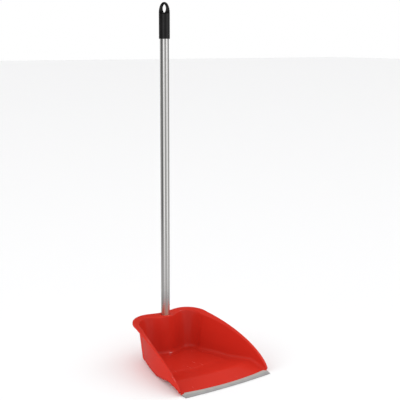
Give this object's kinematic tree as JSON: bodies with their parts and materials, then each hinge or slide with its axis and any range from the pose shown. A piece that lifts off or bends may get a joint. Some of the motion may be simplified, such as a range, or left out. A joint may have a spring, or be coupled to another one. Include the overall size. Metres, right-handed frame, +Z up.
{
  "type": "long-handled dustpan",
  "caption": "Deep moulded pan with a flared rim and a soft grey lip, carried by an upright metal tube with a black hanging cap.",
  "frame": {"origin": "middle of the base of the whole object's box, on the ground", "axes": "+Z up along the handle, -Y out of the pan's mouth, X = 0 the mirror plane of the pan"},
  "size_m": [0.266, 0.302, 0.893],
  "materials": {
    "tray_plastic": "smooth glossy moulded plastic",
    "lip_rubber": "matt soft strip",
    "tube_metal": "polished, with fine lengthwise grain",
    "plug_plastic": "matt moulded plastic",
    "cap_plastic": "satin moulded plastic"
  },
  "bodies": {
    "pan": {"pan_tray": "tray_plastic", "lip_strip": "lip_rubber"},
    "handle": {"handle_tube": "tube_metal", "thread_plug": "plug_plastic", "hanger_cap": "cap_plastic"}
  },
  "joints": [
    {"name": "handle_pull_out", "type": "slide", "parent": "pan", "child": "handle", "axis": [0, 0, 1], "range_m": [0, 0.105]}
  ]
}
